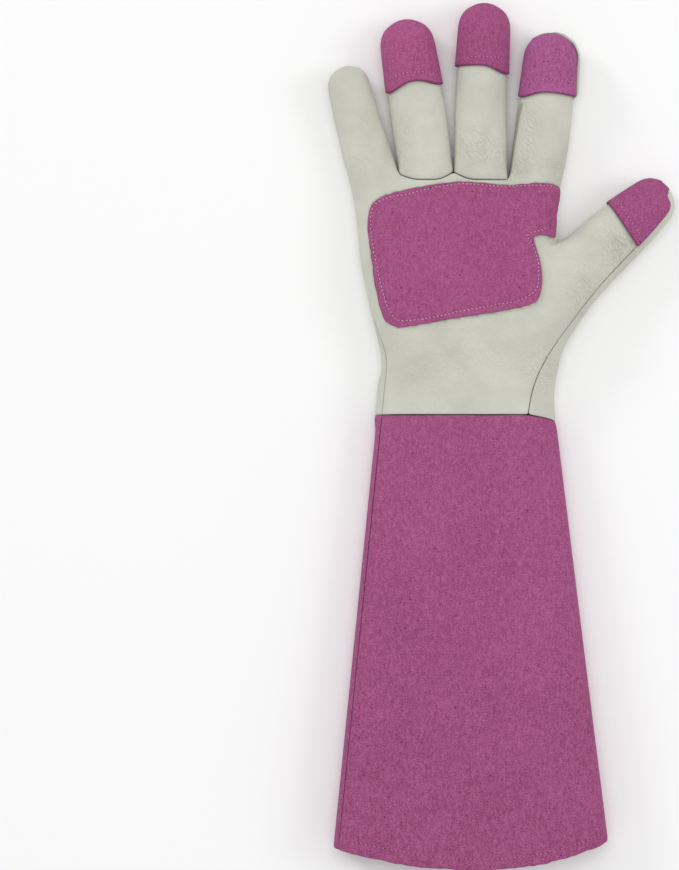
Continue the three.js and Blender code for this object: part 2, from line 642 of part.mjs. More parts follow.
// One row of the cuff at a share of its length, as the loop of a ring
function cuffRow({ down, layers }) {
  const wrist = HAND_ROWS[HAND_ROWS.length - 1];
  const left = mix(wrist.left * WRIST_WIDTH, (HEM_SHIFT - 1 / 2) * HEM_WIDTH, down);
  const right = mix(wrist.right * WRIST_WIDTH, (HEM_SHIFT + 1 / 2) * HEM_WIDTH, down);
  const height = mix(WRIST_HEIGHT + SEAM_GAP, HEM_HEIGHT, smooth(down));
  const leftAngles = sideAngles(1);
  const rightAngles = sideAngles(0);
  const inset = (degrees) => sidePoint(degrees, height, PALM_ROUNDING).inset;
  const thumbSeam = THUMB_SEAM[THUMB_SEAM.length - 1] * WRIST_WIDTH;
  const leftFront = left + inset(leftAngles[0]);
  const leftBack = left + inset(leftAngles[LAST_ANGLE]);
  const rightFront = mix(thumbSeam, right - inset(rightAngles[0]), smooth(down / CUFF_SETTLE));
  const rightBack = right - inset(rightAngles[LAST_ANGLE]);
  const backEdge = sidePoint(SIDE_ANGLES[LAST_ANGLE], height, PALM_ROUNDING).z;
  const keep = (x, z) => {
    const side = (2 * (x - left)) / (right - left) - 1;
    const drop = HEM_DROP_LENGTH * (1 - side * side) * (1 + HEM_DROP_SKEW * side);
    const slant = (HEM_SLANT_LENGTH * (1 + side)) / 2;
    const y = (slant - drop) * down ** HEM_DROP_POWER - down * CUFF_LENGTH;
    const id = addPoint(x, y, z);
    layersAt.set(id, layers);
    return id;
  };
  const front = [];
  const back = [];
  for (let column = 0; column <= HAND_COLUMNS; column += 1) {
    const share = column / HAND_COLUMNS;
    const x = mix(leftFront, rightFront, share);
    const distance = Math.min(x - left, right - x);
    const inside = smooth(distance / (FORM_FADE * PALM_ROUNDING));
    const turns = CUFF_FOLDS.count * share + CUFF_FOLDS.drift * down + CUFF_FOLDS.start;
    const depth = CUFF_FOLD_DEPTH * inside * smooth(down / CUFF_FOLDS.full);
    const fold = depth * Math.cos(2 * Math.PI * turns);
    front.push(keep(x, domeHeight(distance, height, PALM_ROUNDING) + fold));
    const atEdge = column === 0 || column === HAND_COLUMNS;
    back.push(keep(mix(leftBack, rightBack, share), atEdge ? backEdge : 0));
  }
  const leftSide = [];
  const rightSide = [];
  for (let k = 1; k <= SIDE_POINTS; k += 1) {
    const onLeft = sidePoint(leftAngles[k], height, PALM_ROUNDING);
    leftSide.push(keep(left + onLeft.inset, onLeft.z));
    const onRight = sidePoint(rightAngles[k], height, PALM_ROUNDING);
    rightSide.push(keep(right - onRight.inset, onRight.z));
  }
  return { front, back, leftSide, rightSide };
}

// The hem is folded inwards, so its wall has two layers
function addCuff() {
  const hemTop = 1 - HEM_FOLD_WIDTH / CUFF_LENGTH;
  const rows = CUFF_ROWS.map((down) => ({ down, layers: 1 }));
  rows.push({ down: hemTop - HEM_STEP_LENGTH / CUFF_LENGTH, layers: 1 });
  rows.push({ down: hemTop, layers: 2 }, { down: 1, layers: 2 });
  const rings = [handRows[handRows.length - 1], ...rows.map(cuffRow)];
  const rightSeam = HAND_COLUMNS + SIDE_POINTS + 1;
  const leftSeam = rightSeam + HAND_COLUMNS + SIDE_POINTS - LEFT_SEAM;
  const loops = rings.map((ring) => {
    const loop = ringLoop(ring);
    return [...loop, loop[0]];
  });
  const panelAt = (i) => (i >= rightSeam && i < leftSeam ? 'cuff_back_panel' : 'cuff_palm_panel');
  for (let index = 0; index + 1 < loops.length; index += 1) {
    addStrip(panelAt, loops[index + 1], loops[index]);
  }
}

addCuff();

// Normals of the whole skin, shared by the panels on both sides of a seam
const normals = points.map(() => new THREE.Vector3());
for (const face of faces) {
  const [a, b, c, d] = face.ids.map((id) => points[id]);
  const across = c.clone().sub(a);
  const along = d.clone().sub(b);
  const normal = across.cross(along);
  face.ids.forEach((id) => normals[id].add(normal));
}
normals.forEach((normal) => normal.normalize());

// Edges of some faces that no other of them shares
function openEdges(ownFaces) {
  const open = new Map();
  for (const face of ownFaces) {
    face.ids.forEach((from, i) => {
      const to = face.ids[(i + 1) % face.ids.length];
      if (!open.delete(`${to},${from}`)) {
        open.set(`${from},${to}`, { from, to });
      }
    });
  }
  return [...open.values()];
}

// Where the edges leave a point, how far it is drawn in to clear half of a seam's gap
function seamPulls(edges) {
  const inwards = new Map();
  for (const { from, to } of edges) {
    const edge = points[to].clone().sub(points[from]).normalize();
    for (const id of [from, to]) {
      const inward = normals[id].clone().cross(edge).normalize();
      inwards.set(id, [...(inwards.get(id) || []), inward]);
    }
  }
  const pulls = new Map();
  for (const [id, list] of inwards) {
    const sum = list.reduce((total, inward) => total.add(inward), new THREE.Vector3());
    const opening = list.length > 1 ? 1 + list[0].dot(list[1]) : 1;
    pulls.set(id, sum.multiplyScalar(SEAM_GAP / 2 / Math.max(opening, CORNER_LIMIT)));
  }
  return pulls;
}

// A sheet of leather over some faces, from one height over the skin to another
function sheet(ownFaces, lowAt, highAt) {
  const edges = openEdges(ownFaces);
  const pulls = seamPulls(edges);
  const order = new Map();
  const high = [];
  const low = [];
  for (const id of ownFaces.flatMap((face) => face.ids)) {
    if (order.has(id)) {
      continue;
    }
    order.set(id, high.length);
    const at = points[id].clone().add(pulls.get(id) || new THREE.Vector3());
    high.push(at.clone().addScaledVector(normals[id], highAt(id)));
    low.push(at.clone().addScaledVector(normals[id], lowAt(id)));
  }
  const count = high.length;
  const index = [];
  for (const face of ownFaces) {
    const [a, b, c, d] = face.ids.map((id) => order.get(id));
    const acShort = high[a].distanceTo(high[c]) <= high[b].distanceTo(high[d]);
    const halves = acShort ? [[a, b, c], [a, c, d]] : [[a, b, d], [b, c, d]];
    for (const [i, j, k] of halves) {
      index.push(i, j, k);
      index.push(count + k, count + j, count + i);
    }
  }
  for (const { from, to } of edges) {
    const a = order.get(from);
    const b = order.get(to);
    index.push(a, count + a, count + b);
    index.push(a, count + b, b);
  }
  const geometry = new THREE.BufferGeometry();
  const position = [...high, ...low].flatMap((at) => at.toArray());
  geometry.setAttribute('position', new THREE.Float32BufferAttribute(position, 3));
  geometry.setIndex(index);
  return geometry;
}

// The palm patch is cut out of a sheet over the palm
const wasm = await Module();
wasm.setup();
const MERGE_DISTANCE = 1e-4;

function toSolid(geometry) {
  const bare = geometry.clone();
  bare.deleteAttribute('normal');
  bare.deleteAttribute('uv');
  const merged = mergeVertices(bare, MERGE_DISTANCE);
  return new wasm.Manifold(new wasm.Mesh({
    numProp: 3,
    vertProperties: new Float32Array(merged.attributes.position.array),
    triVerts: new Uint32Array(merged.index.array),
  }));
}

function fromSolid(solid) {
  const mesh = solid.getMesh();
  const position = new Float32Array(mesh.vertProperties);
  const geometry = new THREE.BufferGeometry();
  geometry.setAttribute('position', new THREE.BufferAttribute(position, 3));
  geometry.setIndex(new THREE.BufferAttribute(new Uint32Array(mesh.triVerts), 1));
  return geometry;
}

function palmPatch() {
  const over = new Set();
  for (let index = 0; index <= THUMB_LOW_ROW; index += 1) {
    handRows[index].front.forEach((id) => over.add(id));
    if (index <= THUMB_TOP_ROW) {
      handRows[index].rightSide.slice(0, LEFT_SEAM + 1).forEach((id) => over.add(id));
    }
  }
  const onPalm = (face) => face.panel === 'palm_panel' && face.ids.every((id) => over.has(id));
  const slab = sheet(faces.filter(onPalm), () => SEAM_GAP, () => SEAM_GAP + SUEDE_THICKNESS);
  const corners = PATCH_OUTLINE.map(([across, up]) => (
    new THREE.Vector2(across * KNUCKLE_WIDTH, up * PALM_LENGTH)
  ));
  const curve = new THREE.SplineCurve([...corners, corners[0]]);
  const shape = new THREE.Shape(curve.getPoints(corners.length * 2).slice(0, -1));
  const prism = new THREE.ExtrudeGeometry(shape, { depth: 2 * PALM_HEIGHT, bevelEnabled: false });
  return fromSolid(toSolid(slab).intersect(toSolid(prism)));
}

// Assembly
const glove = new THREE.Group();

function addPiece(name, geometry, material) {
  const mesh = new THREE.Mesh(geometry, material.clone());
  mesh.name = name;
  glove.add(mesh);
}

function addPanel(name, thickness, material) {
  const own = faces.filter((face) => face.panel === name);
  const lowAt = (id) => -thickness * (layersAt.get(id) || 1);
  addPiece(name, sheet(own, lowAt, () => 0), material);
}

addPanel('palm_panel', GRAIN_LEATHER_THICKNESS, CREAM);
addPanel('ring_front', GRAIN_LEATHER_THICKNESS, CREAM);
addPanel('middle_front', GRAIN_LEATHER_THICKNESS, CREAM);
addPanel('back_panel', GRAIN_LEATHER_THICKNESS, CREAM);
addPanel('thumb_back', GRAIN_LEATHER_THICKNESS, CREAM);
addPanel('cuff_palm_panel', SUEDE_THICKNESS, PINK);
addPanel('cuff_back_panel', SUEDE_THICKNESS, PINK);
for (const { name, faces: own } of overlays) {
  addPiece(name, sheet(own, () => SEAM_GAP, () => SEAM_GAP + SUEDE_THICKNESS), PINK);
}
addPiece('palm_patch', palmPatch(), PINK);

const box = new THREE.Box3().setFromObject(glove);
const centre = box.getCenter(new THREE.Vector3());
glove.position.set(-centre.x, -centre.y, -box.min.z);

export default glove;
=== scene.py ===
import math

import bmesh
import bpy
from mathutils import Matrix, Vector, noise
from mathutils.bvhtree import BVHTree


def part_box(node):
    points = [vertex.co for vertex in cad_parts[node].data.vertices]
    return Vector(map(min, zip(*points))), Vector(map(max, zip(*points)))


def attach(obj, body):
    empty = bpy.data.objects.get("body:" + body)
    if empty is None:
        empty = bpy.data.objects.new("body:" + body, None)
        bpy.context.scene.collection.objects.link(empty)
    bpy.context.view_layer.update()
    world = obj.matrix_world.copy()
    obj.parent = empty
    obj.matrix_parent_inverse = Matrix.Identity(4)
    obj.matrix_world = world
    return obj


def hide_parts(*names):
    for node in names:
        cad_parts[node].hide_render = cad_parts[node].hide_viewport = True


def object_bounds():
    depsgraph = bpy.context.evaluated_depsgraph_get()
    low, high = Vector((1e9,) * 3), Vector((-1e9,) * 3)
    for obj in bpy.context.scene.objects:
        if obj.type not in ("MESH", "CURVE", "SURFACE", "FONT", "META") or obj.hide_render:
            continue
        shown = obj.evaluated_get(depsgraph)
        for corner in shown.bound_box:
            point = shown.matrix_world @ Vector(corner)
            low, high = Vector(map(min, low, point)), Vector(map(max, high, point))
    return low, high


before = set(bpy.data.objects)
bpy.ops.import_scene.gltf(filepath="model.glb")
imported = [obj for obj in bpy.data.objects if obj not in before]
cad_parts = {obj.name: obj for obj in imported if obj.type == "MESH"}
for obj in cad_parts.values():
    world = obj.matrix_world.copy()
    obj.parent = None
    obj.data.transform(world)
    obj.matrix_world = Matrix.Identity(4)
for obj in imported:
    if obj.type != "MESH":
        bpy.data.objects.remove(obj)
cad_low, cad_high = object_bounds()

# Camera
# It looks straight down on the palm from two metres, through a long lens. The glove lies in the
# right half of the picture, so the camera stands to the left of its middle.
MM = 0.001
PICTURE_HEIGHT = 452.4 * MM
CAMERA_X = -84.3 * MM
CAMERA_Y = -0.2 * MM
CAMERA_HEIGHT = 2000 * MM
AIM_HEIGHT = 14 * MM
SENSOR = 36
FAR_END = 10


def clear_selection():
    bpy.ops.object.select_all(action="DESELECT")


clear_selection()
bpy.ops.object.camera_add(location=(CAMERA_X, CAMERA_Y, CAMERA_HEIGHT))
camera = bpy.context.object
camera.name = "camera"
camera.data.sensor_fit = "VERTICAL"
camera.data.sensor_height = SENSOR
camera.data.lens = SENSOR * (CAMERA_HEIGHT - AIM_HEIGHT) / PICTURE_HEIGHT
camera.data.clip_end = FAR_END
bpy.context.scene.camera = camera
bpy.context.scene.view_settings.view_transform = "Standard"

# Table top and studio light
# A plain white board under the glove in a white room, with one large soft light above it and a
# weaker one from each side that models the folds.
BOARD_SIDE = 6.0
BOARD_DROP = 0.3 * MM
BOARD_WHITE = (0.93, 0.93, 0.93, 1)
BOARD_ROUGHNESS = 0.85
ROOM_WHITE = (1, 1, 1, 1)
ROOM_STRENGTH = 0.6
# Lights: name, place and width in metres, power in watts
LIGHTS = [
    ("overhead_light", (-0.1, 0.3, 2.4), 1.6, 17),
    ("side_light", (-3.0, 2.3, 1.7), 1.0, 34),
    ("fill_light", (2.2, 0.2, 1.7), 1.2, 13),
]


def plain_paint(name, roughness):
    material = bpy.data.materials.new(name)
    material.use_nodes = True
    shader = material.node_tree.nodes["Principled BSDF"]
    shader.inputs["Roughness"].default_value = roughness
    return material, shader


clear_selection()
bpy.ops.mesh.primitive_plane_add(size=BOARD_SIDE, location=(0, 0, cad_low.z - BOARD_DROP))
board = bpy.context.object
board.name = "table_top"
bpy.ops.object.transform_apply(location=True, rotation=True, scale=True)
board_paint, board_shader = plain_paint("white_board", BOARD_ROUGHNESS)
board_shader.inputs["Base Color"].default_value = BOARD_WHITE
board.data.materials.append(board_paint)

room = bpy.data.worlds.new("soft_room")
room.use_nodes = True
room_light = room.node_tree.nodes["Background"]
room_light.inputs["Color"].default_value = ROOM_WHITE
room_light.inputs["Strength"].default_value = ROOM_STRENGTH
bpy.context.scene.world = room

for name, place, width, power in LIGHTS:
    clear_selection()
    bpy.ops.object.light_add(type="AREA", location=place)
    lamp = bpy.context.object
    lamp.name = name
    lamp.data.shape = "DISK"
    lamp.data.size = width
    lamp.data.energy = power
    lamp.rotation_euler = (-Vector(place)).to_track_quat("-Z", "Y").to_euler()

# Palm panel
# Cream grain leather, one cut for the palm and the fronts of little finger, index finger and
# thumb. It is sewn inside out, so its edges roll into the seams, and it creases where it bends.
LEATHER_LIGHT = (0.61, 0.612, 0.536, 1)
LEATHER_DARK = (0.52, 0.522, 0.447, 1)
# Colour of the grain's pores, also painted into the crease lines as shade
LEATHER_PORE_AND_CREASE_SHADE = (0.44, 0.44, 0.36, 1)
# Painted shade along the seams, where the pieces meet
LEATHER_SEAM_SHADE = (0.13, 0.125, 0.1, 1)
LEATHER_ROUGHNESS = 0.58
SAME_PLACE = 0.01 * MM
FLAT_ENOUGH = math.radians(75)
RIM_TURN = math.radians(58)
RIM_WIDTH = 1.5 * MM
RIM_CREASE = 0.42
SMOOTH_LEVELS = 3


def smooth_copy(node, name, levels=SMOOTH_LEVELS, crease=RIM_CREASE):
    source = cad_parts[node]
    piece = source.copy()
    piece.data = source.data.copy()
    piece.name = name
    piece.parent = None
    for key in list(piece.keys()):
        del piece[key]
    piece.data.materials.clear()
    bpy.context.scene.collection.objects.link(piece)
    piece.hide_render = False
    piece.hide_viewport = False
    clear_selection()
    piece.select_set(True)
    bpy.context.view_layer.objects.active = piece
    bpy.ops.object.mode_set(mode="EDIT")
    bpy.ops.mesh.select_all(action="SELECT")
    bpy.ops.mesh.remove_doubles(threshold=SAME_PLACE)
    bpy.ops.mesh.tris_convert_to_quads(face_threshold=FLAT_ENOUGH, shape_threshold=FLAT_ENOUGH)
    bpy.ops.object.mode_set(mode="OBJECT")
    crease_rims(piece, crease)
    if levels:
        subdivision = piece.modifiers.new("smooth", "SUBSURF")
        subdivision.levels = levels
        subdivision.render_levels = levels
        bpy.ops.object.modifier_apply(modifier="smooth")
    bpy.ops.object.shade_smooth()
    return piece


def crease_rims(piece, amount):
    mesh = bmesh.new()
    mesh.from_mesh(piece.data)
    layer = mesh.edges.layers.float.new("crease_edge")
    for edge in mesh.edges:
        if len(edge.link_faces) == 2 and edge.calc_face_angle() > RIM_TURN:
            edge[layer] = amount
            edge.tag = True
    for face in mesh.faces:
        narrow = min(edge.calc_length() for edge in face.edges) < RIM_WIDTH
        if narrow and sum(edge.tag for edge in face.edges) >= 2:
            face.material_index = 1
    mesh.to_mesh(piece.data)
    mesh.free()


def reshape(piece, field):
    for vertex in piece.data.vertices:
        vertex.co += field(vertex.co)
    piece.data.update()


def slope(value, low, high):
    share = min(max((value - low) / (high - low), 0.0), 1.0)
    return share * share * (3 - 2 * share)


def mark(piece, name, share_at):
    values = [share_at(vertex.co) for vertex in piece.data.vertices]
    layer = piece.data.attributes.new(name, "FLOAT", "POINT")
    layer.data.foreach_set("value", values)


# Places where the leather is creased: centre and reach across and along in mm, the turn of the
# creases in degrees, their depth in mm
CREASES = [
    (62, 97, 14, 15, 128, 0.32),
    (42, 73, 10, 16, 128, 0.26),
    (-12, 150, 12, 12, 140, 0.3),
    (8, 139, 9, 9, 35, 0.28),
    (14.7, 161, 5, 14, 75, 0.25),
    (30, 138, 9, 11, 15, 0.24),
    (-22, 40, 24, 17, 128, 0.12),
    (24, 33, 15, 14, 118, 0.26),
    (-52, 152, 7, 16, 80, 0.16),
    (-70, 150, 8, 26, 100, 0.14),
    (-48, 28, 16, 14, 60, 0.1),
]
CREASE_SPACING = 2.6
CREASE_STRETCH = 0.25
CREASE_SHARPNESS = 2.4
DEEPEST_CREASE = 0.3
LEAST_REACH = 0.03
RIDGE_FROM = 0.35
# Gentle unevenness of the leather: rise and width of the broad waves and of the small ones
BROAD_RISE = 0.45 * MM
BROAD_WIDTH = 19 * MM
SMALL_RISE = 0.14 * MM
SMALL_WIDTH = 6 * MM
UPPER_FROM = 6 * MM
UPPER_FULL = 13 * MM


def crease_reach(at, row):
    x, y, wide, long = row[:4]
    return math.exp(-((at.x / MM - x) / wide) ** 2 - ((at.y / MM - y) / long) ** 2)


def creased(at):
    upper = slope(at.z, UPPER_FROM, UPPER_FULL)
    if upper == 0:
        return 0.0
    return upper * min(sum(crease_reach(at, row) * row[-1] / DEEPEST_CREASE for row in CREASES), 1.0)


def leather_folds(at):
    upper = slope(at.z, UPPER_FROM, UPPER_FULL)
    if upper == 0:
        return Vector((0, 0, 0))
    rise = BROAD_RISE * noise.noise(at / BROAD_WIDTH)
    rise += SMALL_RISE * noise.noise(at / SMALL_WIDTH)
    for row in CREASES:
        reach = crease_reach(at, row)
        if reach < LEAST_REACH:
            continue
        x, turn, depth = row[0], row[4], row[5]
        angle = math.radians(turn)
        along = at.x * math.cos(angle) + at.y * math.sin(angle)
        across = at.y * math.cos(angle) - at.x * math.sin(angle)
        spot = Vector((along / MM * CREASE_STRETCH, across / MM, x)) / CREASE_SPACING
        ridge = 1 - abs(noise.noise(spot)) * CREASE_SHARPNESS
        rise -= depth * MM * reach * slope(ridge, RIDGE_FROM, 1.0)
    return Vector((0, 0, rise * upper))


def feed(tree, value, socket):
    if isinstance(value, (float, tuple)):
        socket.default_value = value
    else:
        tree.links.new(value, socket)


def surface_place(tree):
    return tree.nodes.new("ShaderNodeTexCoord").outputs["Object"]


def pattern(tree, kind, place, scale, **settings):
    texture = tree.nodes.new(kind)
    texture.inputs["Scale"].default_value = scale
    for key, value in settings.items():
        texture.inputs[key].default_value = value
    tree.links.new(place, texture.inputs["Vector"])
    return texture


def spread(tree, value, low=0.0, high=1.0, most=1.0):
    node = tree.nodes.new("ShaderNodeMapRange")
    node.inputs["From Min"].default_value = low
    node.inputs["From Max"].default_value = high
    node.inputs["To Max"].default_value = most
    tree.links.new(value, node.inputs["Value"])
    return node.outputs["Result"]


def cell_edges(tree, place, scale, width):
    cells = pattern(tree, "ShaderNodeTexVoronoi", place, scale, Randomness=1)
    cells.feature = "DISTANCE_TO_EDGE"
    return spread(tree, cells.outputs["Distance"], high=width)


def painted(tree, name):
    layer = tree.nodes.new("ShaderNodeAttribute")
    layer.attribute_name = name
    return layer.outputs["Fac"]


def mixed(tree, factor, first, second):
    blend = tree.nodes.new("ShaderNodeMix")
    blend.data_type = "RGBA"
    for value, number in ((factor, 0), (first, 6), (second, 7)):
        feed(tree, value, blend.inputs[number])
    return blend.outputs[2]


def worked(tree, operation, first, second):
    node = tree.nodes.new("ShaderNodeMath")
    node.operation = operation
    feed(tree, first, node.inputs[0])
    feed(tree, second, node.inputs[1])
    return node.outputs["Value"]


def toned(tree, value, *stops):
    tone = tree.nodes.new("ShaderNodeValToRGB")
    elements = tone.color_ramp.elements
    for element, (position, colour) in zip((elements[0], elements[1]), (stops[0], stops[-1])):
        element.position = position
        element.color = colour
    for position, colour in stops[1:-1]:
        elements.new(position).color = colour
    tree.links.new(value, tone.inputs["Fac"])
    return tone.outputs["Color"]


def relief(tree, height, depth, strength, before=None):
    bump = tree.nodes.new("ShaderNodeBump")
    bump.inputs["Strength"].default_value = strength
    bump.inputs["Distance"].default_value = depth
    tree.links.new(height, bump.inputs["Height"])
    if before:
        tree.links.new(before, bump.inputs["Normal"])
    return bump.outputs["Normal"]


# Sizes of the leather's patterns, in repeats a metre, and the turn of its fine wrinkles
CLOUD_SCALE = 42
GRAIN_SCALE = 1000
GRAIN_WIDTH = 0.14
WRINKLE_SCALE = 460
WRINKLE_WIDTH = 0.2
WRINKLE_TURN = math.radians(128)
WRINKLE_STRETCH = (2.4, 0.85, 1)
BEND_SCALE = 160
BEND_BY = (0.006, 0.006, 0.006)
SOFT_SCALE = 320
# How much of the grain, the painted crease shade and the painted seam shade shows in the colour
GRAIN_SHOWS = 0.25
CREASE_SHADE_SHOWS = 0.12
LEATHER_SEAM_SHADE_SHOWS = 0.5


def grain_leather(name):
    material, shader = plain_paint(name, LEATHER_ROUGHNESS)
    tree = material.node_tree
    shader.inputs["Specular IOR Level"].default_value = 0.3
    shader.inputs["Sheen Weight"].default_value = 0.06
    shader.inputs["Sheen Roughness"].default_value = 0.5
    place = surface_place(tree)
    clouds = pattern(tree, "ShaderNodeTexNoise", place, CLOUD_SCALE, Detail=6, Roughness=0.6)
    tone = toned(tree, clouds.outputs["Fac"], (0.3, LEATHER_DARK), (0.62, LEATHER_LIGHT))
    valley = cell_edges(tree, place, GRAIN_SCALE, GRAIN_WIDTH)
    stretch = tree.nodes.new("ShaderNodeMapping")
    stretch.vector_type = "TEXTURE"
    stretch.inputs["Rotation"].default_value = (0, 0, WRINKLE_TURN)
    stretch.inputs["Scale"].default_value = WRINKLE_STRETCH
    tree.links.new(place, stretch.inputs["Vector"])
    bend = pattern(tree, "ShaderNodeTexNoise", place, BEND_SCALE, Detail=3)
    bent = tree.nodes.new("ShaderNodeVectorMath")
    bent.operation = "MULTIPLY_ADD"
    bent.inputs[1].default_value = BEND_BY
    tree.links.new(bend.outputs["Color"], bent.inputs[0])
    tree.links.new(stretch.outputs["Vector"], bent.inputs[2])
    furrow = cell_edges(tree, bent.outputs["Vector"], WRINKLE_SCALE, WRINKLE_WIDTH)
    bottom = worked(tree, "SUBTRACT", 1.0, furrow)
    crease_line = worked(tree, "MULTIPLY", bottom, painted(tree, "creased"))
    stained = mixed(tree, valley, LEATHER_PORE_AND_CREASE_SHADE, tone)
    coloured = mixed(tree, GRAIN_SHOWS, tone, stained)
    # Painted shade in the crease lines
    crease_shade = worked(tree, "MULTIPLY", crease_line, CREASE_SHADE_SHOWS)
    lined = mixed(tree, crease_shade, coloured, LEATHER_PORE_AND_CREASE_SHADE)
    # Painted shade along the seams and round the edges of the suede pieces
    seam = worked(tree, "MULTIPLY", painted(tree, "seam"), LEATHER_SEAM_SHADE_SHOWS)
    tree.links.new(mixed(tree, seam, lined, LEATHER_SEAM_SHADE), shader.inputs["Base Color"])
    soft = pattern(tree, "ShaderNodeTexNoise", place, SOFT_SCALE,
                   Detail=6, Roughness=0.62, Distortion=0.6)
    fine = relief(tree, valley, depth=0.12 * MM, strength=0.3)
    broad = relief(tree, soft.outputs["Fac"], depth=0.5 * MM, strength=0.5, before=fine)
    sunk = worked(tree, "SUBTRACT", 0.0, crease_line)
    deep = relief(tree, sunk, depth=0.36 * MM, strength=0.85, before=broad)
    tree.links.new(deep, shader.inputs["Normal"])
    return material


cream = grain_leather("cream_grain_leather")


def clear_face_slots(piece):
    piece.data.polygons.foreach_set("material_index", [0] * len(piece.data.polygons))
    piece.data.update()


def dress(piece, node, material):
    clear_face_slots(piece)
    piece.data.materials.append(material)
    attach(piece, "root")
    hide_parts(node)


palm = smooth_copy("palm_panel", "palm_leather")
mark(palm, "creased", creased)
reshape(palm, leather_folds)
dress(palm, "palm_panel", cream)

# Fronts of ring and middle finger
# Two cream grain leather pieces, each wrapped round both sides of its finger. They are sewn to the
# palm at the finger's base and to the back panel along its sides.
ring_front = smooth_copy("ring_front", "ring_front_leather")
middle_front = smooth_copy("middle_front", "middle_front_leather")
for front, node in ((ring_front, "ring_front"), (middle_front, "middle_front")):
    mark(front, "creased", creased)
    reshape(front, leather_folds)
    dress(front, node, cream)

# Back panel
# Cream grain leather over the back of the hand and the four finger backs, gathered at the wrist
# by an elastic that is hidden under it, so that it puckers above and below one zigzag row.
GATHER_Y = 42.6 * MM
GATHER_REACH = 21 * MM
GATHER_PITCH = 5.2 * MM
GATHER_RISE = 1.2 * MM
GATHER_FALL = 1.6
GATHER_LEAST = 0.02
GATHER_CREASED = 0.8
# How the puckers wander: waves a metre across and along, and how far, in puckers
WANDER_SCALES = (45, 38)
WANDER_BY = 1.1
NIP_RISE = 0.7 * MM
NIP_REACH = 4 * MM
RUMPLE_RISE = 0.35 * MM
RUMPLE_WIDTH = 5 * MM
LOWER_TO = 7 * MM


def puckers(at):
    lower = 1 - slope(at.z, 0, LOWER_TO)
    away = (at.y - GATHER_Y) / GATHER_REACH
    reach = math.exp(-away * away * GATHER_FALL)
    if lower == 0 or reach < GATHER_LEAST:
        return Vector((0, 0, 0))
    spot = Vector((at.x * WANDER_SCALES[0], at.y * WANDER_SCALES[1], 0))
    shift = noise.noise(spot) * WANDER_BY
    wave = math.sin(2 * math.pi * (at.x / GATHER_PITCH + shift))
    nip = math.exp(-((at.y - GATHER_Y) / NIP_REACH) ** 2)
    rise = GATHER_RISE * (0.5 + 0.5 * wave) * reach + NIP_RISE * nip
    rise += RUMPLE_RISE * noise.noise(at / RUMPLE_WIDTH) * reach
    return Vector((0, 0, max(rise, 0) * lower))


# Where the back's edge stands out past the suede tips of index and ring finger, in mm
PROUD_EDGES = [
    [(27, 210), (30, 208.8), (33.5, 206.2), (37.1, 200), (39, 189.6), (38.9, 178)],
    [(-50.5, 216), (-45.5, 216.4), (-41, 213)],
]
PROUD_FROM = 2 * MM
PROUD_FULL = 0.8 * MM
PROUD_REACH = 4.6 * MM
PROUD_BY = 3.2 * MM


def beside(at, start, end):
    start, end = Vector(start) * MM, Vector(end) * MM
    along = (end - start).normalized()
    share = min(max((at.xy - start).dot(along), 0), (end - start).length)
    return (at.xy - start - along * share).length, along


def proud_edge(at):
    level = slope(at.z, PROUD_FROM, UPPER_FROM)
    move = Vector((0, 0, 0))
    if level == 0:
        return move
    for corners in PROUD_EDGES:
        for start, end in zip(corners, corners[1:]):
            away, along = beside(at, start, end)
            push = PROUD_BY * level * (1 - slope(away, PROUD_FULL, PROUD_REACH))
            if push > move.length:
                move = Vector((-along.y, along.x, 0)) * push
    return move


def gathered(at):
    return math.exp(-((at.y - GATHER_Y) / GATHER_REACH) ** 2) * GATHER_CREASED


back = smooth_copy("back_panel", "back_leather")
reshape(back, proud_edge)
mark(back, "creased", gathered)
reshape(back, leather_folds)
reshape(back, puckers)
dress(back, "back_panel", cream)

# Thumb back
# Cream grain leather round the back of the thumb and down its outer side to the wrist seam. One
# long seam joins it to the palm, and another joins it to the back panel.
thumb = smooth_copy("thumb_back", "thumb_leather")
mark(thumb, "creased", creased)
reshape(thumb, leather_folds)
dress(thumb, "thumb_back", cream)

# Cuff panels
# Magenta split suede, one panel over the palm side and one over the back, joined by two long
# seams, with the hem folded inwards and stitched.
SUEDE_LIGHT = (0.45, 0.125, 0.285)
SUEDE_MIDDLE = (0.345, 0.083, 0.204)
SUEDE_DARK = (0.25, 0.052, 0.142)
SUEDE_PORE = (0.13, 0.02, 0.068, 1)
SUEDE_FIBRE = (0.56, 0.24, 0.42, 1)
# Painted shade along the suede's seams and on its raw and steep edges
SUEDE_SEAM_SHADE = (0.05, 0.012, 0.03, 1)
# Painted light: the lighter colour the suede takes towards the wrist
SUEDE_TOP_LIGHT = (0.6, 0.16, 0.39, 1)
SUEDE_SHEEN = (0.9, 0.35, 0.65, 1)
SUEDE_ROUGHNESS = 0.95
# Painted light along the cuff: where it starts at the hem, where it is full, and its most
TOP_LIGHT_FROM = -230 * MM
TOP_LIGHT_TO = 20 * MM
TOP_LIGHT_MOST = 0.16
# Sizes of the suede's patterns, in repeats a metre
NAP_SCALE = 1500
BRUSHED_SCALE = 420
LIE_SCALE = 800
LIE_STRETCH = (1, 0.3, 1)
PATCHES_SCALE = 30
PORE_SCALE = 460
FIBRE_SCALE = 560
# Shares of nap, brushed streaks, lie and patches in the suede's unevenness
SUEDE_SHARES = (0.6, 0.18, 0.16, 0.06)
# How much of the loose fibres, the pores and the painted seam shade shows in the colour
FIBRES_SHOW = 0.5
PORES_SHOW = 0.85
SUEDE_SEAM_SHADE_SHOWS = 0.85


def speckles(tree, place, scale, least, widest):
    cells = pattern(tree, "ShaderNodeTexVoronoi", place, scale, Randomness=1)
    chance = tree.nodes.new("ShaderNodeSeparateColor")
    tree.links.new(cells.outputs["Color"], chance.inputs["Color"])
    size = spread(tree, chance.outputs["Red"], low=least, most=widest)
    inside = worked(tree, "LESS_THAN", cells.outputs["Distance"], size)
    return worked(tree, "MULTIPLY", inside, chance.outputs["Green"])


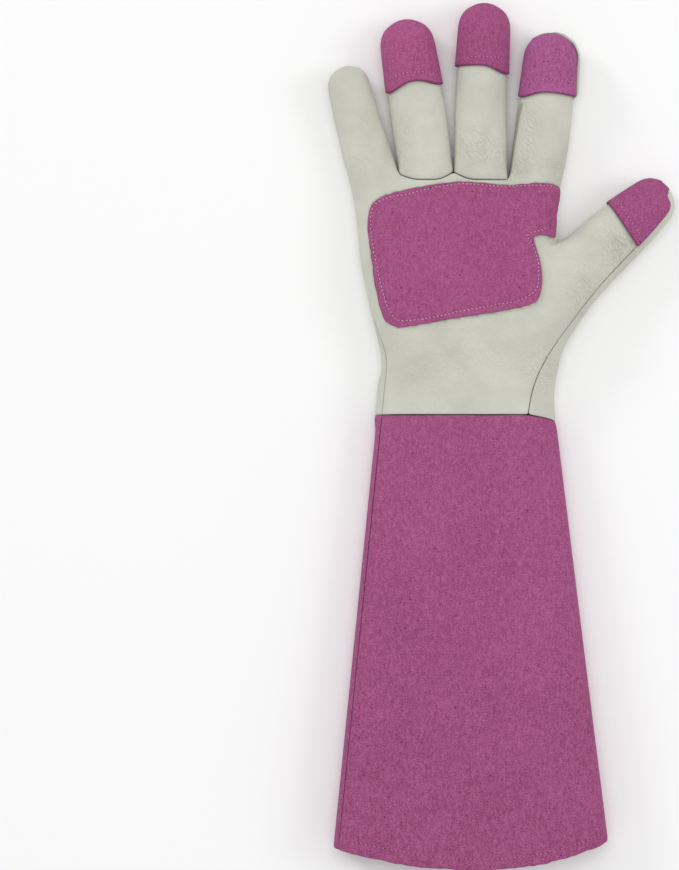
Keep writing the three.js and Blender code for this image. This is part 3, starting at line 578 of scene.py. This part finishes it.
def split_suede(name, dye=(1.0, 1.0, 1.0)):
    material, shader = plain_paint(name, SUEDE_ROUGHNESS)
    tree = material.node_tree
    shader.inputs["Specular IOR Level"].default_value = 0.1
    shader.inputs["Sheen Weight"].default_value = 0.1
    shader.inputs["Sheen Roughness"].default_value = 0.45
    shader.inputs["Sheen Tint"].default_value = SUEDE_SHEEN

    def dyed(colour):
        return tuple(channel * share for channel, share in zip(colour, dye)) + (1,)

    place = surface_place(tree)
    nap = pattern(tree, "ShaderNodeTexNoise", place, NAP_SCALE,
                  Detail=3, Roughness=0.8, Distortion=0.3)
    brushed = pattern(tree, "ShaderNodeTexNoise", place, BRUSHED_SCALE, Detail=5, Roughness=0.7)
    stretch = tree.nodes.new("ShaderNodeMapping")
    stretch.inputs["Scale"].default_value = LIE_STRETCH
    tree.links.new(place, stretch.inputs["Vector"])
    lie = pattern(tree, "ShaderNodeTexNoise", stretch.outputs["Vector"], LIE_SCALE, Detail=3)
    patches = pattern(tree, "ShaderNodeTexNoise", place, PATCHES_SCALE, Detail=3, Roughness=0.5)
    height = worked(tree, "MULTIPLY", nap.outputs["Fac"], SUEDE_SHARES[0])
    for texture, share in zip((brushed, lie, patches), SUEDE_SHARES[1:]):
        height = worked(tree, "ADD", height, worked(tree, "MULTIPLY", texture.outputs["Fac"], share))
    tone = toned(tree, height, (0.44, dyed(SUEDE_DARK)), (0.5, dyed(SUEDE_MIDDLE)),
                 (0.56, dyed(SUEDE_LIGHT)))
    along = tree.nodes.new("ShaderNodeSeparateXYZ")
    tree.links.new(place, along.inputs["Vector"])
    # Painted light, lighter towards the wrist
    worn = spread(tree, along.outputs["Y"], low=TOP_LIGHT_FROM, high=TOP_LIGHT_TO, most=TOP_LIGHT_MOST)
    top_lit = mixed(tree, worn, tone, SUEDE_TOP_LIGHT)
    pores = speckles(tree, place, PORE_SCALE, least=0.2, widest=0.24)
    fibre_ends = speckles(tree, place, FIBRE_SCALE, least=0.35, widest=0.24)
    lit = mixed(tree, worked(tree, "MULTIPLY", fibre_ends, FIBRES_SHOW), top_lit, SUEDE_FIBRE)
    spotted = mixed(tree, worked(tree, "MULTIPLY", pores, PORES_SHOW), lit, SUEDE_PORE)
    seam = worked(tree, "MULTIPLY", painted(tree, "seam"), SUEDE_SEAM_SHADE_SHOWS)
    tree.links.new(mixed(tree, seam, spotted, SUEDE_SEAM_SHADE), shader.inputs["Base Color"])
    fibres = relief(tree, nap.outputs["Fac"], depth=0.3 * MM, strength=0.7)
    clumps = relief(tree, height, depth=0.8 * MM, strength=0.6, before=fibres)
    sunk = worked(tree, "SUBTRACT", 0.0, pores)
    pits = relief(tree, sunk, depth=0.3 * MM, strength=0.6, before=clumps)
    tree.links.new(pits, shader.inputs["Normal"])
    return material


magenta = split_suede("magenta_suede")
# Unevenness of the cuff: rise, width across and length along in mm, and a number that parts them
CUFF_WAVES = [(0.7, 24, 75, 0), (0.25, 9, 24, 4)]
CUFF_RUMPLE = 0.1 * MM
CUFF_RUMPLE_WIDTH = 5 * MM
# Waver of the hem: share, width in mm, and a number that parts them
HEM_WAVES = [(1, 9, 2.5), (0.5, 3, 7.5)]
HEM_WAVER = 0.8 * MM
HEM_STIFF_FROM = -222 * MM
HEM_STIFF_TO = -196 * MM


def suede_folds(at):
    rise = 0
    for height, wide, long, part in CUFF_WAVES:
        rise += height * MM * noise.noise(Vector((at.x / (wide * MM), at.y / (long * MM), part)))
    rise += CUFF_RUMPLE * noise.noise(at / CUFF_RUMPLE_WIDTH)
    return Vector((0, 0, rise * slope(at.z, UPPER_FROM, UPPER_FULL)))


def hem_waver(at):
    near = 1 - slope(at.y, HEM_STIFF_FROM, HEM_STIFF_TO)
    uneven = 0
    for share, wide, part in HEM_WAVES:
        uneven += share * noise.noise(Vector((at.x / (wide * MM), part, 0)))
    return Vector((0, HEM_WAVER * near * uneven, 0))


cuff_palm = smooth_copy("cuff_palm_panel", "cuff_palm_suede")
reshape(cuff_palm, suede_folds)
reshape(cuff_palm, hem_waver)
dress(cuff_palm, "cuff_palm_panel", magenta)
cuff_back = smooth_copy("cuff_back_panel", "cuff_back_suede")
reshape(cuff_back, suede_folds)
reshape(cuff_back, hem_waver)
dress(cuff_back, "cuff_back_panel", magenta)

# Seams
# The pieces are sewn edge to edge on the wrong side and turned, so at every seam both edges roll
# inwards, and a thin dark line of painted shade runs along each seam. At the wrist the leather's
# edge stands over the suede.
# Painted seam shade: full up to the first distance, gone at the second, wider on the cuff
SEAM_SHADE_FROM = 0.32 * MM
SEAM_SHADE_TO = 0.65 * MM
CUFF_SHADE_TO = 0.85 * MM
SEAM_ROLL_REACH = 2.2 * MM
SEAM_ROLL_DEPTH = 0.32 * MM
WRIST_Y = 10.4 * MM
WRIST_RISE = 0.35 * MM
RISE_REACH = 4 * MM
WRIST_TUCK = 0.35 * MM
TUCK_REACH = 3 * MM
# The seam along the index finger's left side, in mm, pressed in and painted dark as the shade in its
# fold
INDEX_SEAM = [(10.4, 172), (9, 166.2), (6.8, 153), (4.9, 142), (3.9, 135.5)]
INDEX_SEAM_SHARE = 0.6


def skin_of(piece):
    mesh = bmesh.new()
    mesh.from_mesh(piece.data)
    tree = BVHTree.FromBMesh(mesh)
    mesh.free()
    return tree


def beside_index_seam(at):
    return min(beside(at, start, end)[0] for start, end in zip(INDEX_SEAM, INDEX_SEAM[1:]))


sewn = [palm, ring_front, middle_front, back, thumb, cuff_palm, cuff_back]
skins = [skin_of(piece) for piece in sewn]
seam_distance = {}
for piece, own in zip(sewn, skins):
    others = [skin for skin in skins if skin is not own]
    reach = []
    for vertex in piece.data.vertices:
        found = [skin.find_nearest(vertex.co, SEAM_ROLL_REACH)[3] for skin in others]
        if piece is palm and vertex.co.z > UPPER_FROM:
            found.append(beside_index_seam(vertex.co) * INDEX_SEAM_SHARE)
        reach.append(min([length for length in found if length is not None], default=SEAM_ROLL_REACH))
    seam_distance[piece.name] = reach

# Paints shade along each seam, darker the nearer another piece comes, and rolls the edges in
for piece in sewn:
    reach = seam_distance[piece.name]
    layer = piece.data.attributes.new("seam", "FLOAT", "POINT")
    values = []
    for vertex, length in zip(piece.data.vertices, reach):
        seam_shade_to = CUFF_SHADE_TO if vertex.co.y < WRIST_Y - TUCK_REACH else SEAM_SHADE_TO
        values.append(1 - slope(length, SEAM_SHADE_FROM, seam_shade_to))
    layer.data.foreach_set("value", values)
    for vertex, length in zip(piece.data.vertices, reach):
        upper = slope(vertex.co.z, UPPER_FROM, UPPER_FULL)
        roll = 1 - slope(length, 0, SEAM_ROLL_REACH)
        vertex.co.z -= SEAM_ROLL_DEPTH * roll * upper
        from_wrist = vertex.co.y - WRIST_Y
        if piece in (cuff_palm, cuff_back):
            vertex.co.z -= WRIST_TUCK * (1 - slope(-from_wrist, 0, TUCK_REACH)) * upper
        else:
            vertex.co.z += WRIST_RISE * (1 - slope(from_wrist, 0, RISE_REACH)) * upper
    piece.data.update()

# Suede tips
# Four magenta suede caps sewn over the ends of ring finger, middle finger, index finger and
# thumb, each with one row of thread stitches above its raw lower edge.
# Rows of stitches, in mm, from one side of the finger to the other
TIP_ROWS = {
    "ring_tip": [(-61.6, 181.4), (-59.6, 183.4), (-54.6, 186.2), (-49, 187.4), (-41.9, 188.2),
                 (-37.3, 187.9), (-33.2, 186.7)],
    "middle_tip": [(-23.7, 194.3), (-21.9, 194.9), (-10.7, 196.1), (0.4, 195), (4.4, 192.7)],
    "index_tip": [(10.6, 181.3), (13.9, 183.4), (24.2, 184), (35.4, 183.2), (38.2, 182.2)],
    "thumb_tip": [(58.9, 123.3), (62.1, 118.2), (65.5, 112.6), (68.9, 107.4), (71.8, 104)],
}
# How strongly each tip takes the red, green and blue of the cuff's colours
TIP_DYES = {"ring_tip": (1.05, 0.98, 0.97), "middle_tip": (0.93, 0.87, 0.88),
            "index_tip": (1.08, 1.17, 1.25), "thumb_tip": (0.96, 0.92, 0.97)}
THREAD_WIDTH = 0.44 * MM
STITCH_LENGTH = 1.3 * MM
STITCH_PITCH = 2.05 * MM
STITCH_SWAY = 0.3 * MM
STITCH_TURN = 0.5
SWAY_WIDTH = 1.1 * MM
HOLE_WIDTH = 0.5 * MM
HOLE_LIFT = 0.06 * MM
HOLE_MIDDLE = 0.1
HOLE_DOME = 0.05
THREAD_LIFT = 0.12 * MM
# Shares of a stitch: its straight middle, how far each end reaches, drops and narrows
STITCH_MIDDLE = 0.6
STITCH_END = 0.2
STITCH_DROP = 0.42
STITCH_TAPER = 0.5
END_FACING = 0.9
THREAD_SIDES = 8
THREAD_ROUGHNESS = 0.6
TWIST_SCALE = 2600
PATH_STEPS = 24
ABOVE_ALL = 60 * MM
TIP_CREASE = 0.96
EDGE_SHADE = 0.65
# The thumb tip's upper corner is worn round: its place and reach in mm, and how often it is smoothed
WORN_CORNER = (88.2, 127.2)
WORN_REACH = 6.5
WORN_TIMES = 220
WORN_PULL = 0.5


def pick_end(piece, side):
    mesh = bmesh.from_edit_mesh(piece.data)
    for face in mesh.faces:
        face.select_set(face.normal.x * side > END_FACING)
    mesh.select_flush_mode()
    bmesh.update_edit_mesh(piece.data)


def thread_stitch(name, length, width):
    clear_selection()
    bpy.ops.mesh.primitive_cylinder_add(vertices=THREAD_SIDES, radius=width / 2,
                                        depth=length * STITCH_MIDDLE, rotation=(0, math.pi / 2, 0))
    stitch = bpy.context.object
    stitch.name = name
    bpy.ops.object.transform_apply(location=True, rotation=True, scale=True)
    bpy.ops.object.mode_set(mode="EDIT")
    bpy.ops.mesh.select_mode(type="FACE")
    for side in (-1, 1):
        pick_end(stitch, side)
        drop = (side * length * STITCH_END, 0, -width * STITCH_DROP)
        bpy.ops.mesh.extrude_region_move(TRANSFORM_OT_translate={"value": drop})
        centre = (side * length * 0.5, 0, -width * STITCH_DROP)
        bpy.ops.transform.resize(value=(1, STITCH_TAPER, STITCH_TAPER), center_override=centre)
    bpy.ops.object.mode_set(mode="OBJECT")
    return stitch


# A dark disc that stands for the painted shade inside a needle hole
def needle_hole(name, width):
    clear_selection()
    bpy.ops.mesh.primitive_circle_add(vertices=THREAD_SIDES, radius=width / 2, fill_type="TRIFAN")
    hole = bpy.context.object
    hole.name = name
    for vertex in hole.data.vertices:
        if vertex.co.length < HOLE_MIDDLE * width:
            vertex.co.z += width * HOLE_DOME
    return hole


def thread(name, light, dark):
    material, shader = plain_paint(name, THREAD_ROUGHNESS)
    tree = material.node_tree
    shader.inputs["Specular IOR Level"].default_value = 0.25
    twist = pattern(tree, "ShaderNodeTexNoise", surface_place(tree), TWIST_SCALE, Detail=3)
    tone = toned(tree, twist.outputs["Fac"], (0.35, dark), (0.65, light))
    tree.links.new(tone, shader.inputs["Base Color"])
    twisted = relief(tree, twist.outputs["Fac"], depth=0.1 * MM, strength=0.6)
    tree.links.new(twisted, shader.inputs["Normal"])
    return material


pink_thread = thread("pink_thread", (0.78, 0.44, 0.65, 1), (0.52, 0.2, 0.38, 1))
rose_thread = thread("rose_thread", (0.62, 0.27, 0.47, 1), (0.42, 0.13, 0.29, 1))
# Colour of the needle hole discs: painted shade in the holes
hole_shade = thread("needle_hole", (0.07, 0.012, 0.035, 1), (0.035, 0.006, 0.018, 1))
stitch = thread_stitch("stitch", STITCH_LENGTH, THREAD_WIDTH)
hole = needle_hole("hole", HOLE_WIDTH)


def rounded_path(corners):
    last = len(corners) - 1
    path = []
    for index in range(last):
        a, b, c, d = (Vector(corners[min(max(index + k, 0), last)]) for k in (-1, 0, 1, 2))
        for step in range(PATH_STEPS):
            t = step / PATH_STEPS
            path.append(0.5 * (2 * b + (c - a) * t + (2 * a - 5 * b + 4 * c - d) * t * t
                               + (3 * b - a - 3 * c + d) * t ** 3))
    path.append(Vector(corners[last]))
    return path


def laid_on(skin, path, side=1):
    laid = []
    for spot in path:
        start = Vector((spot.x * MM, spot.y * MM, ABOVE_ALL * side))
        place, normal = skin.ray_cast(start, Vector((0, 0, -side)))[:2]
        if place is not None:
            laid.append((place, normal if normal.z * side > 0 else -normal))
    return laid


def sew(name, skin, path, side=1, pitch=STITCH_PITCH, tools=None, lift=THREAD_LIFT):
    laid = laid_on(skin, path, side)
    mesh = bmesh.new()
    travelled = 0.0
    due = pitch / 2
    tools = tools or ((stitch, 0), (hole, 1))
    for (here, normal), (there, _) in zip(laid, laid[1:]):
        step = (there - here).length
        while step and travelled + step >= due:
            direction = (there - here).normalized()
            spot = here + direction * (due - travelled)
            sideways = normal.cross(direction).normalized()
            upward = direction.cross(sideways)
            for tool, number in tools:
                ahead = pitch / 2 if number else 0
                height = HOLE_LIFT if number else lift
                centre = spot + direction * ahead + upward * height
                sway = noise.noise(centre / SWAY_WIDTH)
                placed = Matrix((direction, sideways, upward)).transposed().to_4x4()
                placed = placed @ Matrix.Rotation(sway * STITCH_TURN, 4, "Z")
                placed = placed @ Matrix.Diagonal((1 - sway * STITCH_TURN, 1, 1, 1))
                placed.translation = centre + sideways * sway * STITCH_SWAY
                before = len(mesh.verts)
                mesh.from_mesh(tool.data)
                mesh.verts.ensure_lookup_table()
                bmesh.ops.transform(mesh, matrix=placed, verts=mesh.verts[before:])
                mesh.faces.ensure_lookup_table()
                for face in mesh.faces[-len(tool.data.polygons):]:
                    face.material_index = number
            due += pitch
        travelled += step
    data = bpy.data.meshes.new(name)
    mesh.to_mesh(data)
    mesh.free()
    row = bpy.data.objects.new(name, data)
    bpy.context.scene.collection.objects.link(row)
    row.data.shade_smooth()
    return row


def dress_row(row, slot, *threads):
    for material in threads:
        row.data.materials.append(material)
    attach(row, "root")


# Paints shade on the walls of a suede tip's raw edge, a thin dark line along the tip
def shade_raw_edge(piece):
    values = [0.0] * len(piece.data.vertices)
    for face in piece.data.polygons:
        if face.material_index == 1:
            for number in face.vertices:
                values[number] = EDGE_SHADE
    layer = piece.data.attributes.new("seam", "FLOAT", "POINT")
    layer.data.foreach_set("value", values)


def round_corner(piece):
    clear_selection()
    piece.select_set(True)
    bpy.context.view_layer.objects.active = piece
    bpy.ops.object.mode_set(mode="EDIT")
    bpy.ops.mesh.select_mode(type="VERT")
    bpy.ops.mesh.select_all(action="DESELECT")
    mesh = bmesh.from_edit_mesh(piece.data)
    for vertex in mesh.verts:
        away = (vertex.co.xy - Vector(WORN_CORNER) * MM).length
        vertex.select_set(away < WORN_REACH * MM)
    bmesh.update_edit_mesh(piece.data)
    bpy.ops.mesh.vertices_smooth(factor=WORN_PULL, repeat=WORN_TIMES)
    bpy.ops.object.mode_set(mode="OBJECT")


overlays = []
for node, corners in TIP_ROWS.items():
    tip = smooth_copy(node, f"{node}_suede", crease=TIP_CREASE)
    shade_raw_edge(tip)
    reshape(tip, leather_folds)
    if node == "thumb_tip":
        round_corner(tip)
    dress(tip, node, split_suede(f"{node}_dyed_suede", TIP_DYES[node]))
    row = sew(f"{node}_stitches", skin_of(tip), rounded_path(corners))
    dress_row(row, "suede", rose_thread, hole_shade)
    overlays.append(tip)

# Palm patch
# One magenta suede patch over the upper palm, cut round a notch at the thumb's root and
# stitched down all round, a little inside its raw edge.
# Rows of stitches round the patch, in mm
PATCH_ROW = [
    (-67.1, 117.9), (-68.2, 108.5), (-65.7, 90.9), (-62.7, 77), (-59.8, 67.5), (-56.1, 60.6),
    (-52.5, 59), (-44.5, 59.4), (-32.8, 61.4), (-18.2, 64.6), (-0.7, 67.5), (8.8, 69.4),
    (14.6, 72.6), (17.5, 75.5), (18.6, 80.7), (18.6, 88), (16.8, 95.3), (15, 99.6),
    (12.9, 102.8), (16.8, 105), (21.2, 106.4), (25.3, 107.8),
]
PATCH_TOP_ROW = [
    (29.2, 127.4), (27.2, 128.7), (24.1, 129.1), (13.9, 129.2), (-0.7, 128.8), (-11.6, 129.6),
    (-21.1, 130.3), (-27, 129.4), (-32.8, 128.5), (-43, 126.3), (-50.3, 124.4), (-55.5, 123.8),
    (-60.7, 122.2), (-65.4, 119.8),
]
PATCH_VOXEL = 0.5 * MM
EDGE_WANDER = 0.42 * MM
WANDER_WIDTH = 3.6 * MM
WANDER_APART = Vector((9, 4, 2))
PATCH_WORN_TIMES = 5
TORN_AT = 2 * MM
PATCH_EDGE_TO = 26 * MM
PATCH_EDGE_SHADE = 0.8
STEEP_FROM = 0.25
STEEP_FULL = 0.6
WRAP_FROM = 16 * MM
WRAP_TO = 23 * MM
PATCH_DYE = (0.98, 0.95, 0.96)
ROW_REACH = 1.5 * MM
ROW_DEPTH = 0.35 * MM
SLIVER_WIDTH = 0.1 * MM

palm_skin = skin_of(palm)
bare_palm_skin = skin_of(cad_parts["palm_panel"])
patch = smooth_copy("palm_patch", "palm_patch_suede", levels=0, crease=0)
patch.data.remesh_voxel_size = PATCH_VOXEL
bpy.ops.object.voxel_remesh()
patch_smooth = patch.modifiers.new("worn", "SMOOTH")
patch_smooth.factor = WORN_PULL
patch_smooth.iterations = PATCH_WORN_TIMES
bpy.ops.object.modifier_apply(modifier="worn")
bpy.ops.object.shade_smooth()


def settled(at):
    start = Vector((at.x, at.y, ABOVE_ALL))
    bare = bare_palm_skin.ray_cast(start, Vector((0, 0, -1)))[0]
    worn = palm_skin.ray_cast(start, Vector((0, 0, -1)))[0]
    wrapped = slope(at.x, WRAP_FROM, WRAP_TO)
    if bare is None or worn is None or wrapped == 1 or abs(worn.z - bare.z) > TORN_AT:
        return leather_folds(at)
    return Vector((0, 0, worn.z - bare.z)) * (1 - wrapped) + leather_folds(at) * wrapped


def wander(at):
    across = noise.noise(at / WANDER_WIDTH)
    along = noise.noise(at / WANDER_WIDTH + WANDER_APART)
    loose = 1 - slope(at.x, WRAP_FROM, WRAP_TO)
    return Vector((across, along, 0)) * EDGE_WANDER * loose


row_spots = []
row_slivers = []
for corners in (PATCH_ROW, PATCH_TOP_ROW):
    first = len(row_spots)
    for spot in rounded_path(corners):
        row_spots += [(spot.x * MM, spot.y * MM, 0), (spot.x * MM, spot.y * MM, SLIVER_WIDTH)]
    row_slivers += [(i, i + 1, i + 2) for i in range(first, len(row_spots) - 2, 2)]
row_tree = BVHTree.FromPolygons(row_spots, row_slivers)


def stitched_down(at):
    length = row_tree.find_nearest(Vector((at.x, at.y, 0)))[3]
    return Vector((0, 0, -ROW_DEPTH * (1 - slope(length, 0, ROW_REACH))))


reshape(patch, settled)
reshape(patch, wander)
reshape(patch, stitched_down)
# Painted shade on the patch's steep edge walls, darker the steeper, left of PATCH_EDGE_TO
wall_shade = []
for vertex in patch.data.vertices:
    steep = slope(1 - abs(vertex.normal.z), STEEP_FROM, STEEP_FULL) * PATCH_EDGE_SHADE
    wall_shade.append(steep if vertex.co.x < PATCH_EDGE_TO else 0.0)
layer = patch.data.attributes.new("seam", "FLOAT", "POINT")
layer.data.foreach_set("value", wall_shade)
dress(patch, "palm_patch", split_suede("patch_dyed_suede", PATCH_DYE))
patch_skin = skin_of(patch)
for name, corners in (("patch_stitches", PATCH_ROW), ("patch_top_stitches", PATCH_TOP_ROW)):
    dress_row(sew(name, patch_skin, rounded_path(corners)), "suede", pink_thread, hole_shade)

# The edge of each suede piece leaves a thin shade on the leather under it
SHADE_FROM = 0.4 * MM
SHADE_TO = 0.9 * MM
overlays.append(patch)
overlay_skins = [skin_of(piece) for piece in overlays]
for piece in (palm, ring_front, middle_front, back, thumb):
    layer = piece.data.attributes["seam"]
    for vertex in piece.data.vertices:
        found = [skin.find_nearest(vertex.co, SHADE_TO)[3] for skin in overlay_skins]
        length = min([length for length in found if length is not None], default=SHADE_TO)
        shade = 1 - slope(length, SHADE_FROM, SHADE_TO)
        layer.data[vertex.index].value = max(layer.data[vertex.index].value, shade)

# Hem row
# The fold of the hem is held by one row of fine magenta stitches, six millimetres from its edge,
# on the palm side and on the back.
# The row's inset from the edge, the drop of its middle and its slant in mm, and the drop's skew
HEM_INSET = 6.0
HEM_DROP = 12.8
HEM_SLANT = 3.4
HEM_SKEW = 0.2
HEM_PITCH = 2.3 * MM
HEM_STITCH = 1.3 * MM
HEM_THREAD = 0.38 * MM
HEM_LIFT = 0.06 * MM
HEM_STEPS = 400
HEM_ROW_FROM = 0.03
HEM_ROW_SPAN = 0.94

hem_low, hem_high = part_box("cuff_palm_panel")
low_x, high_x, low_y = hem_low.x / MM, hem_high.x / MM, hem_low.y / MM
corner_y = low_y + HEM_DROP - HEM_SLANT / 2


def hem_line(share):
    side = 2 * share - 1
    x = low_x + (high_x - low_x) * share
    drop = HEM_DROP * (1 - side * side) * (1 + HEM_SKEW * side)
    return Vector((x, corner_y + HEM_INSET + HEM_SLANT * share - drop))


hem_thread = thread("magenta_thread", (0.54, 0.22, 0.39, 1), (0.36, 0.1, 0.23, 1))
hem_stitch = thread_stitch("hem_stitch", HEM_STITCH, HEM_THREAD)
hem_tools = ((hem_stitch, 0), (hole, 1))
hem_path = []
for step in range(HEM_STEPS + 1):
    hem_path.append(hem_line(HEM_ROW_FROM + HEM_ROW_SPAN * step / HEM_STEPS))
for name, piece, side in (("hem_stitches", cuff_palm, 1), ("hem_back_stitches", cuff_back, -1)):
    row = sew(name, skin_of(piece), hem_path, side, HEM_PITCH, hem_tools, HEM_LIFT)
    dress_row(row, "suede", hem_thread, hole_shade)

# Zigzag row
# A dark thread runs in a zigzag over the back of the wrist, across the gathers. It holds the
# elastic that is hidden under the leather.
# Corners of the zigzag, in mm
ZIGZAG = [
    (-58.1, 45), (-54.9, 40.1), (-50.3, 45), (-45.6, 40.1), (-40.4, 45), (-34.1, 40.1),
    (-28.9, 45), (-22.7, 40.1), (-16.5, 45), (-10.7, 40.1), (-5, 45), (0.2, 40.1),
    (5.1, 45), (11.1, 40.1), (15.3, 45), (20.2, 40.1),
]
ZIGZAG_PITCH = 1.5 * MM
ZIGZAG_STITCH = 1.55 * MM
ZIGZAG_THREAD = 0.42 * MM
ZIGZAG_LIFT = 0.08 * MM
ZIGZAG_STEPS = 20

grey_thread = thread("grey_thread", (0.16, 0.15, 0.13, 1), (0.06, 0.055, 0.05, 1))
zigzag_stitch = thread_stitch("zigzag_stitch", ZIGZAG_STITCH, ZIGZAG_THREAD)
zigzag_path = []
for start, end in zip(ZIGZAG, ZIGZAG[1:]):
    for step in range(ZIGZAG_STEPS):
        zigzag_path.append(Vector(start).lerp(Vector(end), step / ZIGZAG_STEPS))
zigzag_tools = ((zigzag_stitch, 0),)
row = sew("zigzag_stitches", skin_of(back), zigzag_path, -1, ZIGZAG_PITCH, zigzag_tools, ZIGZAG_LIFT)
dress_row(row, "grain_leather", grey_thread)

for pattern_piece in (stitch, hole, hem_stitch, zigzag_stitch):
    bpy.data.objects.remove(pattern_piece)
